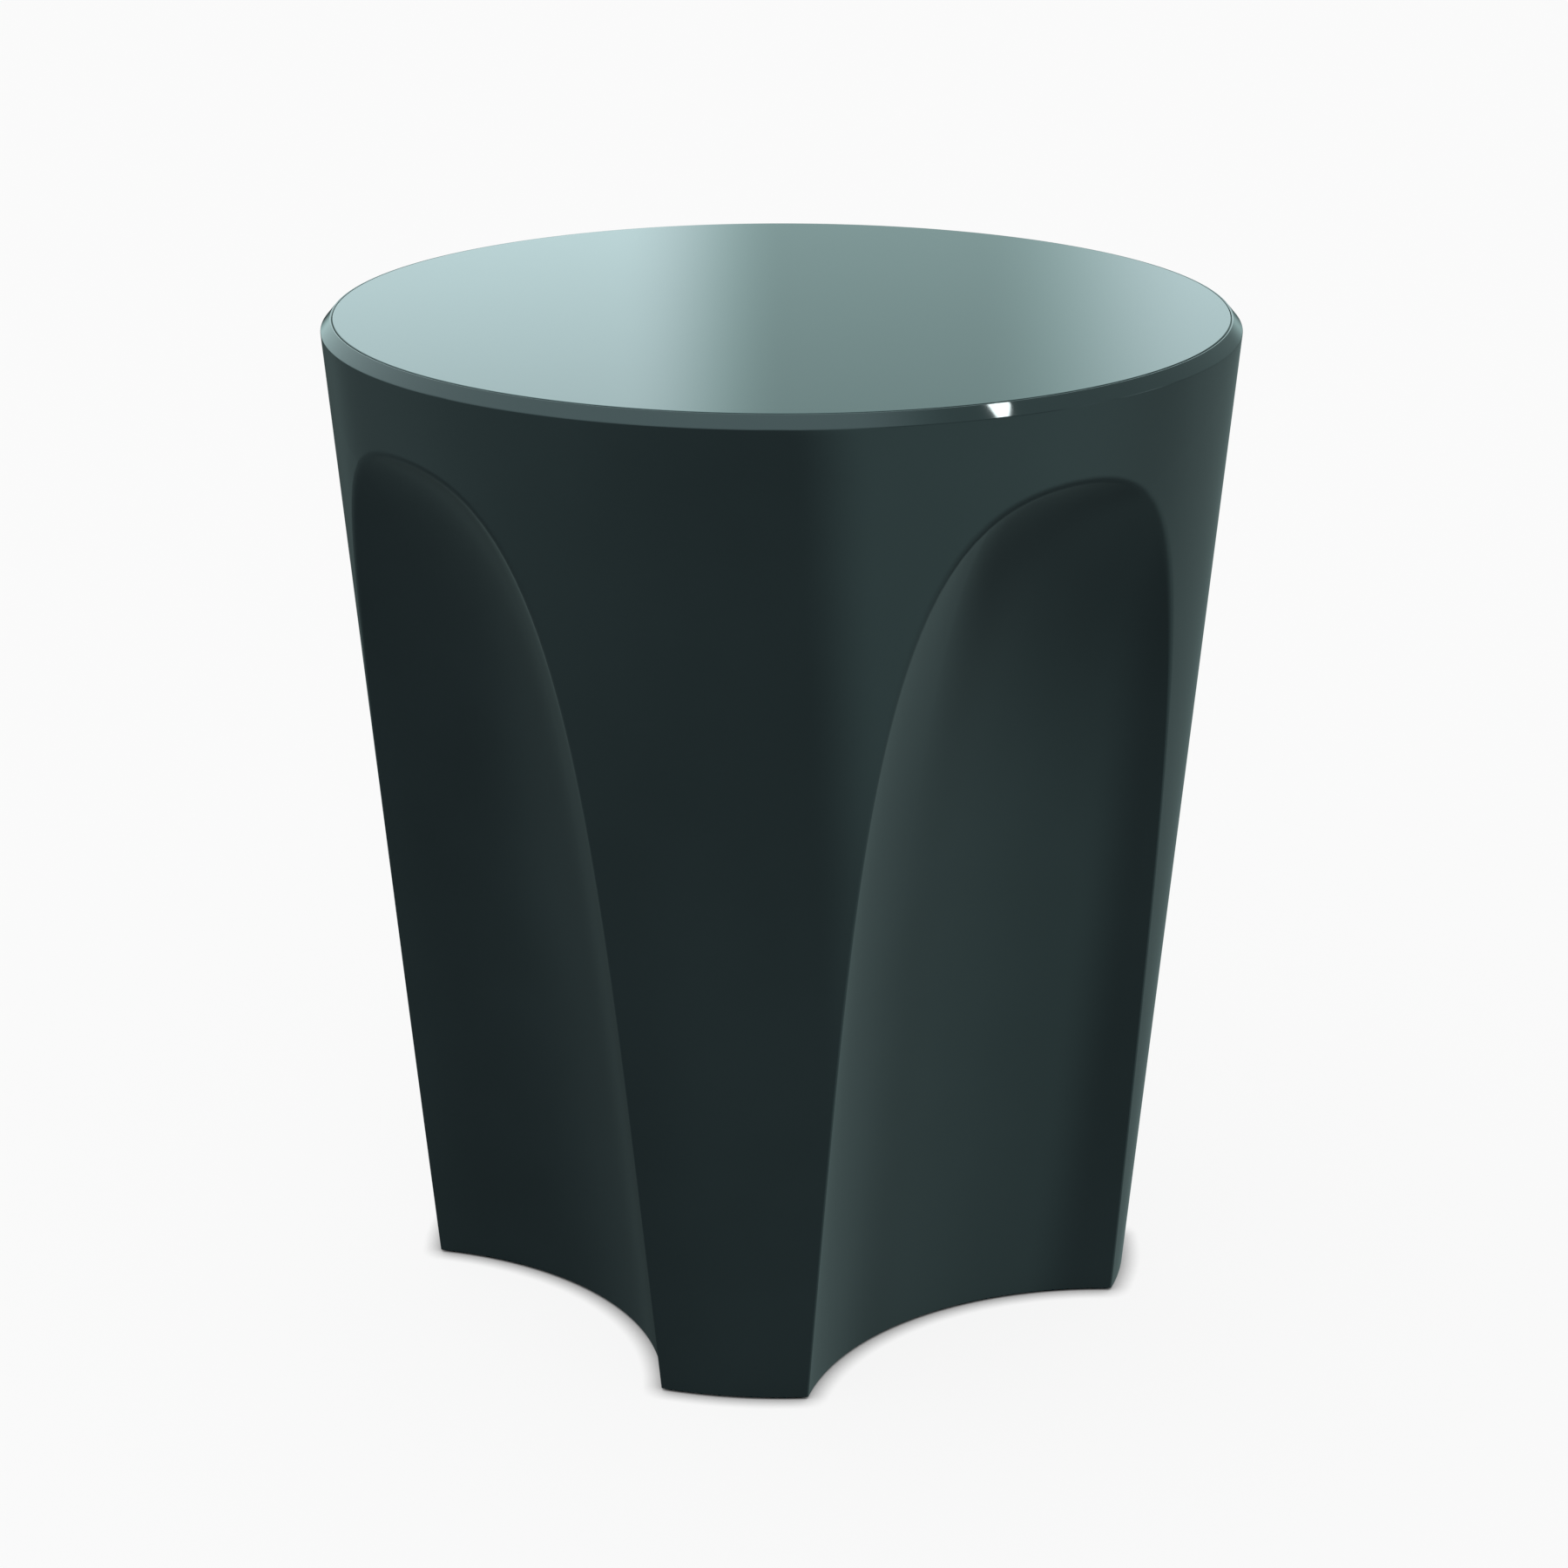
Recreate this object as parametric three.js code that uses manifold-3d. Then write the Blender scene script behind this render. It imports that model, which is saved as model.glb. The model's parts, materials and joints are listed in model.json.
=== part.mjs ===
// Drum stool or side table: a tapered lacquered shell with four arched scoops between
// four feet, an inset gloss top, a closing base panel and four levelling glides.
// Millimetres, +Z up. The origin is on the floor under the centre, and the front foot points along -Y.

import * as THREE from 'three';
import { mergeVertices } from 'three/addons/utils/BufferGeometryUtils.js';
import Module from 'manifold-3d';

const wasm = await Module();
wasm.setup();

// Drum
const HEIGHT = 450;
const FLOOR_GAP = 1.2;
const FOOT_RADIUS = 161.1;
const RIM_RADIUS = 201.5;
const CHAMFER_WIDTH = 4.5;
const CHAMFER_HEIGHT = 5.3;
const WALL = 6;
const DRUM_SIDES = 96;
const RIM_HEIGHT = HEIGHT - CHAMFER_HEIGHT;

// Scoops: a round section of constant radius, carried up a line that leans out to the skin
const SCOOP_RADIUS = 140.8;
const SCOOP_START = 103;
const SCOOP_DRAFT = 0.117;
const ROOF_REACH = 62.6;
const ROOF_HEIGHT = 417.3;
const ROOF_POWER = 4.36;
const SCOOP_SIDES = 72;
const SCOOP_RINGS = 15;
const CUTTER_LOW = -10;

// Top
const SEAM = 0.5;
const RIM_LAND = 0.4;
const DISC_THICKNESS = 6.1;
const BOARD_THICKNESS = 17.9;
const BOARD_RADIUS = 191.5;
const GASKET_THICKNESS = 2;
const GASKET_INNER = 178;
const FLANGE_INNER = 176;
const FLANGE_THICKNESS = 8;
const BOARD_SCREW_RADIUS = 184;
const BOARD_SCREW_LENGTH = 23;

// Base
const PANEL_LOW = 4.8;
const PANEL_THICKNESS = 8;
const PANEL_INSET = 0.4;
const BLOCK_HEIGHT = 40;
const BLOCK_INNER = 96;
const BLOCK_WIDTH = 60;
const BASE_SCREW_RADIUS = 106;
const BASE_SCREW_LENGTH = 20;

// Levelling glides, M8 with 1.25 pitch
const GLIDE_RADIUS = 132;
const THREAD_RADIUS = 4;
const INSERT_RADIUS = 7;
const INSERT_LENGTH = 20;
const INSERT_FLANGE_RADIUS = 10;
const INSERT_FLANGE = 1.6;
const COLLAR_RADIUS = 7.5;
const COLLAR_HEIGHT = 6;
const STEM_TOP = 42;
const BALL_RADIUS = 5;
const BALL_LOW = 1.8;
const BALL_HEIGHT = 1.8;
const NECK_RADIUS = 3.5;
const PAD_RADIUS = 14;
const PAD_HEIGHT = 4.4;
const PAD_EDGE = 2.2;
const PAD_SOLE_CHAMFER = 0.8;
const PAD_SHOULDER = 2.5;
const PAD_SOCKET_FLOOR = 1.4;
const PAD_LIP = 0.5;

// Screws and fits
const SCREW_RADIUS = 2.3;
const SCREW_HEAD_RADIUS = 4.4;
const SCREW_HEAD_HEIGHT = 2.6;
const SCREW_SOCKET_RADIUS = 1.7;
const SCREW_SOCKET_DEPTH = 1.5;
const SCREW_HEAD_TAPER = 0.6;
const GAP = 0.3;
const CLEARANCE = 1;
const OVERCUT = 1;
const ROUND_SIDES = 16;
const HEXAGON_SIDES = 6;
const PAD_SIDES = 24;

// Heights that follow from the stack of pieces
const SHELF_HEIGHT = HEIGHT - DISC_THICKNESS - GAP;
const BOARD_LOW = SHELF_HEIGHT - BOARD_THICKNESS;
const GASKET_LOW = BOARD_LOW - GAP - GASKET_THICKNESS;
const FLANGE_TOP = GASKET_LOW - GAP;
const FLANGE_LOW = FLANGE_TOP - FLANGE_THICKNESS;
const PANEL_TOP = PANEL_LOW + PANEL_THICKNESS;
const BLOCK_LOW = PANEL_TOP + GAP;
const BORE_RADIUS = RIM_RADIUS - CHAMFER_WIDTH - RIM_LAND;

const FEET = { front: -Math.PI / 2, right: 0, back: Math.PI / 2, left: Math.PI };

const FINISHES = {
  lacquer: { color: 0x24302f, roughness: 0.15, metalness: 0 },
  topGloss: { color: 0x3a4d4c, roughness: 0.06, metalness: 0 },
  plywood: { color: 0xb99467, roughness: 0.7, metalness: 0 },
  foam: { color: 0x18191a, roughness: 0.95, metalness: 0 },
  baseBoard: { color: 0x1d2021, roughness: 0.6, metalness: 0 },
  beech: { color: 0xa67f55, roughness: 0.75, metalness: 0 },
  zincSteel: { color: 0xaeb1b4, roughness: 0.35, metalness: 1 },
  brass: { color: 0xb9974c, roughness: 0.35, metalness: 1 },
  nylon: { color: 0x202223, roughness: 0.55, metalness: 0 },
};

// Solids from geometry, and back again

function toSolid(source) {
  const geometry = source.index ? source.clone() : mergeVertices(source);
  geometry.deleteAttribute('normal');
  geometry.deleteAttribute('uv');
  const merged = mergeVertices(geometry);
  const index = merged.index.array;
  const triangles = [];
  for (let i = 0; i < index.length; i += 3) {
    const [a, b, c] = [index[i], index[i + 1], index[i + 2]];
    if (a !== b && b !== c && c !== a) triangles.push(a, b, c);
  }
  return new wasm.Manifold(new wasm.Mesh({
    numProp: 3,
    vertProperties: new Float32Array(merged.attributes.position.array),
    triVerts: new Uint32Array(triangles),
  }));
}

function toGeometry(solid) {
  const mesh = solid.getMesh();
  const geometry = new THREE.BufferGeometry();
  geometry.setAttribute('position', new THREE.BufferAttribute(mesh.vertProperties, 3));
  geometry.setIndex(new THREE.BufferAttribute(mesh.triVerts, 1));
  geometry.computeVertexNormals();
  return geometry;
}

// A round solid on the Z axis: low radius, high radius, low height, high height

function round(lowRadius, highRadius, low, high, sides) {
  const geometry = new THREE.CylinderGeometry(highRadius, lowRadius, high - low, sides);
  geometry.rotateX(Math.PI / 2);
  geometry.translate(0, 0, (low + high) / 2);
  return toSolid(geometry);
}

function hole(radius, low, high, x = 0) {
  return round(radius, radius, low, high, ROUND_SIDES).translate([x, 0, 0]);
}

// The body with a hole cut on each foot's line

function cutAtFeet(body, cutter) {
  return Object.values(FEET).reduce(
    (rest, turn) => rest.subtract(cutter.rotate([0, 0, THREE.MathUtils.radToDeg(turn)])),
    body,
  );
}

// Drum and scoops

function coneRadius(z) {
  return FOOT_RADIUS + (RIM_RADIUS - FOOT_RADIUS) * z / RIM_HEIGHT;
}

function scoopDepthLine(z) {
  const rise = Math.max(z, 0) / ROOF_HEIGHT;
  const roof = 1 - Math.sqrt(1 - Math.min(rise, 1) ** ROOF_POWER);
  return SCOOP_START + SCOOP_DRAFT * z + ROOF_REACH * roof;
}

function scoopCutter(turn, growth) {
  const radius = SCOOP_RADIUS + growth;
  const geometry = new THREE.CylinderGeometry(radius, radius, 1, SCOOP_SIDES, SCOOP_RINGS);
  geometry.rotateX(Math.PI / 2);
  const position = geometry.attributes.position;
  for (let i = 0; i < position.count; i += 1) {
    const step = position.getZ(i) + 0.5;
    const z = CUTTER_LOW + (ROOF_HEIGHT - CUTTER_LOW) * Math.sin(step * Math.PI / 2);
    position.setX(i, position.getX(i) + scoopDepthLine(z) + SCOOP_RADIUS);
    position.setZ(i, z);
  }
  geometry.rotateZ(turn);
  return toSolid(geometry);
}

function drum(inset, low, high) {
  let body = round(coneRadius(low) - inset, coneRadius(high) - inset, low, high, DRUM_SIDES);
  for (const turn of Object.values(FEET)) {
    body = body.subtract(scoopCutter(turn + Math.PI / 4, inset));
  }
  return body;
}

// Pieces

function boardScrewHole(low, high) {
  return hole(SCREW_RADIUS + GAP, low - OVERCUT, high + OVERCUT, BOARD_SCREW_RADIUS);
}

function bodyShell() {
  const chamferTop = RIM_RADIUS - CHAMFER_WIDTH;
  let shell = drum(0, FLOOR_GAP, RIM_HEIGHT);
  shell = shell.add(round(RIM_RADIUS, chamferTop, RIM_HEIGHT, HEIGHT, DRUM_SIDES));
  shell = shell.subtract(drum(WALL, FLOOR_GAP - OVERCUT, FLANGE_LOW));
  const cuts = [
    [FLANGE_INNER, FLANGE_LOW - OVERCUT, FLANGE_TOP + OVERCUT],
    [BOARD_RADIUS + SEAM, FLANGE_TOP, SHELF_HEIGHT + OVERCUT],
    [BORE_RADIUS, SHELF_HEIGHT, HEIGHT + OVERCUT],
  ];
  for (const [radius, low, high] of cuts) {
    shell = shell.subtract(round(radius, radius, low, high, DRUM_SIDES));
  }
  return cutAtFeet(shell, boardScrewHole(FLANGE_LOW, FLANGE_TOP));
}

function topDisc() {
  return round(BORE_RADIUS - SEAM, BORE_RADIUS - SEAM, HEIGHT - DISC_THICKNESS, HEIGHT, DRUM_SIDES);
}

function supportBoard() {
  const board = round(BOARD_RADIUS, BOARD_RADIUS, BOARD_LOW, SHELF_HEIGHT, DRUM_SIDES);
  return cutAtFeet(board, boardScrewHole(BOARD_LOW, FLANGE_LOW + BOARD_SCREW_LENGTH - GAP));
}

function boardGasket() {
  const high = GASKET_LOW + GASKET_THICKNESS;
  const middle = round(GASKET_INNER, GASKET_INNER, GASKET_LOW - OVERCUT, high + OVERCUT, DRUM_SIDES);
  const ring = round(BOARD_RADIUS, BOARD_RADIUS, GASKET_LOW, high, DRUM_SIDES).subtract(middle);
  return cutAtFeet(ring, boardScrewHole(GASKET_LOW, high));
}

function basePanel() {
  const low = PANEL_LOW - OVERCUT;
  const high = PANEL_TOP + OVERCUT;
  const headTop = PANEL_LOW + SCREW_HEAD_HEIGHT + GAP;
  const holes = hole(INSERT_FLANGE_RADIUS + CLEARANCE, low, high, GLIDE_RADIUS)
    .add(hole(SCREW_RADIUS + GAP, low, high, BASE_SCREW_RADIUS))
    .add(hole(SCREW_HEAD_RADIUS + GAP, low, headTop, BASE_SCREW_RADIUS));
  return cutAtFeet(drum(WALL + PANEL_INSET, PANEL_LOW, PANEL_TOP), holes);
}

// A beech block that fills the foot: made on the right foot, then turned to its own foot

function footBlock() {
  const high = BLOCK_LOW + BLOCK_HEIGHT;
  const depth = FOOT_RADIUS - BLOCK_INNER;
  const cube = new THREE.BoxGeometry(depth, BLOCK_WIDTH, BLOCK_HEIGHT + 2 * OVERCUT);
  cube.translate(BLOCK_INNER + depth / 2, 0, (BLOCK_LOW + high) / 2);
  const insertTop = BLOCK_LOW + INSERT_LENGTH + GAP;
  const screwTop = PANEL_LOW + BASE_SCREW_LENGTH + 2 * GAP;
  return drum(WALL + GAP, BLOCK_LOW, high)
    .intersect(toSolid(cube))
    .subtract(hole(INSERT_RADIUS + GAP, BLOCK_LOW - OVERCUT, insertTop, GLIDE_RADIUS))
    .subtract(hole(THREAD_RADIUS + CLEARANCE, BLOCK_LOW, high + OVERCUT, GLIDE_RADIUS))
    .subtract(hole(SCREW_RADIUS + GAP, BLOCK_LOW - OVERCUT, screwTop, BASE_SCREW_RADIUS));
}

function glideInsert() {
  const flange = hole(INSERT_FLANGE_RADIUS, PANEL_TOP - INSERT_FLANGE, PANEL_TOP);
  const sleeve = hole(INSERT_RADIUS, PANEL_TOP - INSERT_FLANGE, BLOCK_LOW + INSERT_LENGTH);
  const bore = hole(THREAD_RADIUS + GAP, PANEL_LOW, BLOCK_LOW + INSERT_LENGTH + OVERCUT);
  return flange.add(sleeve).subtract(bore);
}

function glideStem() {
  const collarTop = PANEL_TOP - INSERT_FLANGE - GAP;
  const collarLow = collarTop - COLLAR_HEIGHT;
  const tip = STEM_TOP - OVERCUT;
  const collar = round(COLLAR_RADIUS, COLLAR_RADIUS, collarLow, collarTop, HEXAGON_SIDES);
  return hole(BALL_RADIUS, BALL_LOW, BALL_LOW + BALL_HEIGHT)
    .add(hole(NECK_RADIUS, BALL_LOW, collarTop))
    .add(collar)
    .add(hole(THREAD_RADIUS, collarLow, tip))
    .add(round(THREAD_RADIUS, THREAD_RADIUS - OVERCUT, tip, STEM_TOP, ROUND_SIDES));
}

function glidePad() {
  const lip = PAD_HEIGHT - PAD_LIP;
  const profile = [
    [0, 0],
    [PAD_RADIUS - PAD_SOLE_CHAMFER, 0],
    [PAD_RADIUS, PAD_SOLE_CHAMFER],
    [PAD_RADIUS, PAD_EDGE],
    [PAD_RADIUS - PAD_SHOULDER, PAD_HEIGHT],
    [NECK_RADIUS + GAP, PAD_HEIGHT],
    [NECK_RADIUS + GAP, lip],
    [BALL_RADIUS + GAP, lip],
    [BALL_RADIUS + GAP, PAD_SOCKET_FLOOR],
    [0, PAD_SOCKET_FLOOR],
  ];
  const points = profile.map(([x, y]) => new THREE.Vector2(x, y));
  const geometry = new THREE.LatheGeometry(points, PAD_SIDES);
  geometry.rotateX(Math.PI / 2);
  return toSolid(geometry);
}

// A pan-head screw pointing up, with its head's underside at the given height

function screw(seat, length) {
  const crown = seat - SCREW_HEAD_HEIGHT;
  const head = round(SCREW_HEAD_RADIUS - SCREW_HEAD_TAPER, SCREW_HEAD_RADIUS, crown, seat, ROUND_SIDES);
  const socketTop = crown + SCREW_SOCKET_DEPTH;
  const socket = round(SCREW_SOCKET_RADIUS, SCREW_SOCKET_RADIUS, crown - OVERCUT, socketTop, HEXAGON_SIDES);
  return head.add(hole(SCREW_RADIUS, seat - GAP, seat + length)).subtract(socket);
}

// Assembly

const stool = new THREE.Group();
stool.name = 'drum_stool';

function place(name, solid, finish, turn = 0, radius = 0) {
  const mesh = new THREE.Mesh(toGeometry(solid), new THREE.MeshStandardMaterial(FINISHES[finish]));
  mesh.name = name;
  mesh.rotation.z = turn;
  mesh.position.set(radius * Math.cos(turn), radius * Math.sin(turn), 0);
  stool.add(mesh);
}

place('body_shell', bodyShell(), 'lacquer');
place('top_disc', topDisc(), 'topGloss');
place('support_board', supportBoard(), 'plywood');
place('board_gasket', boardGasket(), 'foam');
place('base_panel', basePanel(), 'baseBoard');

const block = footBlock();
const insert = glideInsert();
const stem = glideStem();
const pad = glidePad();
const boardScrew = screw(FLANGE_LOW - GAP, BOARD_SCREW_LENGTH);
const baseScrew = screw(PANEL_LOW + SCREW_HEAD_HEIGHT, BASE_SCREW_LENGTH - SCREW_HEAD_HEIGHT);

for (const [side, turn] of Object.entries(FEET)) {
  place(`board_screw_${side}`, boardScrew, 'zincSteel', turn, BOARD_SCREW_RADIUS);
  place(`foot_block_${side}`, block, 'beech', turn);
  place(`base_screw_${side}`, baseScrew, 'zincSteel', turn, BASE_SCREW_RADIUS);
  place(`glide_insert_${side}`, insert, 'brass', turn, GLIDE_RADIUS);
  place(`glide_stem_${side}`, stem, 'zincSteel', turn, GLIDE_RADIUS);
  place(`glide_pad_${side}`, pad, 'nylon', turn, GLIDE_RADIUS);
}

export default stool;
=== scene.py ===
"""Drum stool in gloss lacquer: the finished pieces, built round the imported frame."""

import json
import math

import bmesh
import bpy
import numpy as np
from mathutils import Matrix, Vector

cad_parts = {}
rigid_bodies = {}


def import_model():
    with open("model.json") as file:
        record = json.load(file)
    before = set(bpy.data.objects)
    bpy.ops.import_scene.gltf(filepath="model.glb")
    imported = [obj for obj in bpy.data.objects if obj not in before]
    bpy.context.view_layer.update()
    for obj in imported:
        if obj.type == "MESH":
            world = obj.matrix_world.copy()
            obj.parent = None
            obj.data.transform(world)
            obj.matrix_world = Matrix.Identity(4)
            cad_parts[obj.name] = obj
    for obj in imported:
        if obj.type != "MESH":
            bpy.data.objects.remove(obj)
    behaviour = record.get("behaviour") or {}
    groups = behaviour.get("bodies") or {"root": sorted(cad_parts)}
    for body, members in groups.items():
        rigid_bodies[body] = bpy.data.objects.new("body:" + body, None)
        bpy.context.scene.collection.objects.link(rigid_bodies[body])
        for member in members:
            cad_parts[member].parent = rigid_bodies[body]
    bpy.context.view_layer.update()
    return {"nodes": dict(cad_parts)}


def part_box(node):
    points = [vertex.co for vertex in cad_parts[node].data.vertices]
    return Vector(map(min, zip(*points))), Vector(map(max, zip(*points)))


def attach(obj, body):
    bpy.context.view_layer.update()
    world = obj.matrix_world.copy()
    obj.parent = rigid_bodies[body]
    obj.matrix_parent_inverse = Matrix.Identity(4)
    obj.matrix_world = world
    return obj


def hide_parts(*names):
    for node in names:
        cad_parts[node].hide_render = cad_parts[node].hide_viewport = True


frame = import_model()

bl_info = {
    "name": "Drum stool",
    "version": (1, 0, 0),
    "blender": (4, 5, 0),
    "location": "3D View > Sidebar > Drum Stool",
    "description": "Builds a lacquered drum stool with arched scoops round its packed frame",
    "category": "Object",
}

SHELL_LOW, SHELL_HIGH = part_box("body_shell")
DISC_LOW, DISC_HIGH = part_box("top_disc")
BOARD_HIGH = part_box("support_board")[1]
GASKET_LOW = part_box("board_gasket")[0]
PANEL_LOW, PANEL_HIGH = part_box("base_panel")
PAD_LOW, PAD_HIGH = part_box("glide_pad_front")
STEM_LOW, STEM_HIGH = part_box("glide_stem_front")
INSERT_LOW, INSERT_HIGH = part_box("glide_insert_front")
SCREW_LOW, SCREW_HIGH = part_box("base_screw_front")
SIDES = ("front", "right", "back", "left")
MM = 0.001
DEGREE = math.radians(1)

# How finely the drum is divided: columns along the arch, and rows on the scoop, the rounding and the cone
SKIN_COLUMNS = 96
SKIN_ROWS = (36, 8, 16)
WALL_ROWS = (14, 8, 16)
SAME_PLACE = 0.002 * MM
DISC_SIDES = 384
PAD_SIDES = 64
ROUND_SIDES = 48
HEXAGON_SIDES = 6


# Sizes, colours and stage settings that a user may change


def length(name, description, default):
    """A length in metres."""
    return bpy.props.FloatProperty(name=name, description=description, default=default, unit="LENGTH")


def paint(name, description, default):
    """A colour without alpha."""
    return bpy.props.FloatVectorProperty(
        name=name, description=description, default=default, subtype="COLOR", size=3)


class StoolSizes(bpy.types.PropertyGroup):
    foot_radius: length("Foot radius", "Outer radius of the cone where it would meet the floor", 161.1 * MM)
    chamfer_width: length("Chamfer width", "How far the rim's chamfer reaches in from the edge", 4.5 * MM)
    chamfer_height: length("Chamfer height", "How far the rim's chamfer drops from the top", 5.3 * MM)
    wall: length("Wall", "Thickness of the moulded shell", 6 * MM)
    scoop_radius: length("Scoop radius", "Radius of each scoop's level section", 140.8 * MM)
    scoop_start: length(
        "Scoop start", "Distance of the scoop's deepest line from the axis at the floor", 103 * MM)
    scoop_draft: bpy.props.FloatProperty(
        name="Scoop draft", description="Lean of the scoop's deepest line, outwards per unit of height",
        default=0.117)
    roof_reach: length("Roof reach", "How far the scoop's roof curls out", 62.6 * MM)
    roof_height: length("Roof height", "Height where the scoop's roof would turn level", 417.3 * MM)
    roof_power: bpy.props.FloatProperty(
        name="Roof power", description="How late the roof's curl sets in", default=4.36)
    side_round: length("Side rounding", "Reach of the rounding along the flanks of the feet", 0.8 * MM)
    arch_round: length("Arch rounding", "Reach of the rounding at the crown of each arch", 2.8 * MM)
    seam: length("Seam", "Gap between the top disc and the rim", 0.5 * MM)
    edge_round: length("Edge rounding", "Radius of the small eased edges", 0.8 * MM)
    rim_fall: length("Rim fall", "How far the rim's top falls towards the disc", 0.4 * MM)
    flange: length("Flange", "Thickness of the inner flange that carries the board", 8 * MM)
    opening: length("Opening", "Radius of the hole inside the flange", 176 * MM)
    panel_gap: length("Panel gap", "Gap between the base panel and the shell's wall", 0.4 * MM)


class HardwareSizes(bpy.types.PropertyGroup):
    ball_radius: length("Ball radius", "Radius of the stem's foot in the pad", 5 * MM)
    ball_height: length("Ball height", "Height of the stem's foot", 1.8 * MM)
    neck_radius: length("Neck radius", "Radius of the stem's neck", 3.5 * MM)
    collar_radius: length("Collar radius", "Radius over the corners of the hexagon collar", 7.5 * MM)
    collar_height: length("Collar height", "Height of the hexagon collar", 6 * MM)
    thread_radius: length("Thread radius", "Outer radius of the stem's thread", 4 * MM)
    thread_pitch: length("Thread pitch", "Height of one turn of the thread", 1.25 * MM)
    fit_gap: length("Fit gap", "Play between pieces that meet", 0.3 * MM)
    socket_radius: length("Socket radius", "Radius over the corners of a screw's hexagon socket", 1.7 * MM)
    head_height: length("Head height", "Height of a screw's head", 2.6 * MM)
    shank_radius: length("Shank radius", "Radius of a screw's shank", 2.3 * MM)
    socket_depth: length("Socket depth", "Depth of a screw's hexagon socket", 1.5 * MM)
    pad_sole: length("Pad sole", "Thickness of a pad's sole", 1.4 * MM)
    pad_lip: length("Pad lip", "Thickness of the lip that holds the stem's foot", 0.5 * MM)


class StoolColours(bpy.types.PropertyGroup):
    lacquer: paint("Lacquer", "Deep colour of the shell's lacquer", (0.0086, 0.0133, 0.0146))
    top: paint("Top", "Deep colour of the top disc", (0.0100, 0.0165, 0.0172))
    lacquer_tint: paint("Lacquer tint", "Tint of the shell's mirror reflections", (0.86, 1.0, 1.0))
    top_tint: paint("Top tint", "Tint of the top disc's mirror reflections", (0.75, 1.0, 1.0))


class StudioSettings(bpy.types.PropertyGroup):
    camera_turn: bpy.props.FloatProperty(
        name="Camera turn", description="Angle of the camera round the stool, from the front foot",
        default=math.radians(7.49), unit="ROTATION")
    camera_distance: length("Camera distance", "Level distance of the camera from the axis", 1.7354)
    camera_height: length("Camera height", "Height of the camera over the floor", 0.8206)
    camera_pitch: bpy.props.FloatProperty(
        name="Camera pitch", description="How far the camera looks down", default=math.radians(18.81),
        unit="ROTATION")
    camera_lens: bpy.props.FloatProperty(
        name="Lens", description="Focal length on a 36 mm sensor, in millimetres", default=92.19)
    camera_shift: bpy.props.FloatProperty(
        name="Camera shift", description="Sideways shift of the lens, as a share of the picture's width",
        default=0.00155)
    floor_glow: bpy.props.FloatProperty(
        name="Floor glow", description="Share of the floor's light that it gives off by itself",
        default=0.985)
    floor_colour: bpy.props.FloatProperty(
        name="Floor colour", description="Share of the studio's light that the floor throws back",
        default=0.05)
    # The floor's soft shade round what stands on it is painted shade in the floor's glow; this sets its
    # width
    painted_shade_reach: length("Shade reach", "Width of the soft shade round what stands on the floor", 9 * MM)
    page_white: bpy.props.FloatProperty(
        name="Page white", description="Brightness of the floor and of what lies beyond it", default=0.90)
    floor_radius: length("Floor radius", "Radius of the stage's floor", 14)
    softbox_width: length("Softbox width", "Width of the small softbox", 0.15)
    softbox_height: length("Softbox height", "Height of the small softbox", 0.16)
    softbox_distance: length(
        "Softbox distance", "Distance of the softbox from the glint it makes on the rim", 2.4)
    softbox_power: bpy.props.FloatProperty(
        name="Softbox power", description="Power of the small softbox", default=2.2, unit="POWER")


# Shader nodes


class Number:
    """A number that a node gives out. Sums written on it add Math nodes."""

    def __init__(self, recipe, socket):
        self.recipe = recipe
        self.socket = socket

    def sum(self, operation, first, second):
        node = self.recipe.node("ShaderNodeMath", {"operation": operation}, {0: first, 1: second})
        return Number(self.recipe, node.outputs[0])

    def __add__(self, other):
        return self.sum("ADD", self, other)

    def __radd__(self, other):
        return self.sum("ADD", other, self)

    def __sub__(self, other):
        return self.sum("SUBTRACT", self, other)

    def __rsub__(self, other):
        return self.sum("SUBTRACT", other, self)

    def __mul__(self, other):
        return self.sum("MULTIPLY", self, other)

    def __rmul__(self, other):
        return self.sum("MULTIPLY", other, self)

    def __neg__(self):
        return self.sum("MULTIPLY", self, -1.0)

    def step(self, low, high):
        """Rises smoothly from 0 to 1 between low and high."""
        node = self.recipe.node(
            "ShaderNodeMapRange", {"interpolation_type": "SMOOTHSTEP"},
            {"Value": self, "From Min": low, "From Max": high})
        return Number(self.recipe, node.outputs["Result"])


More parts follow.
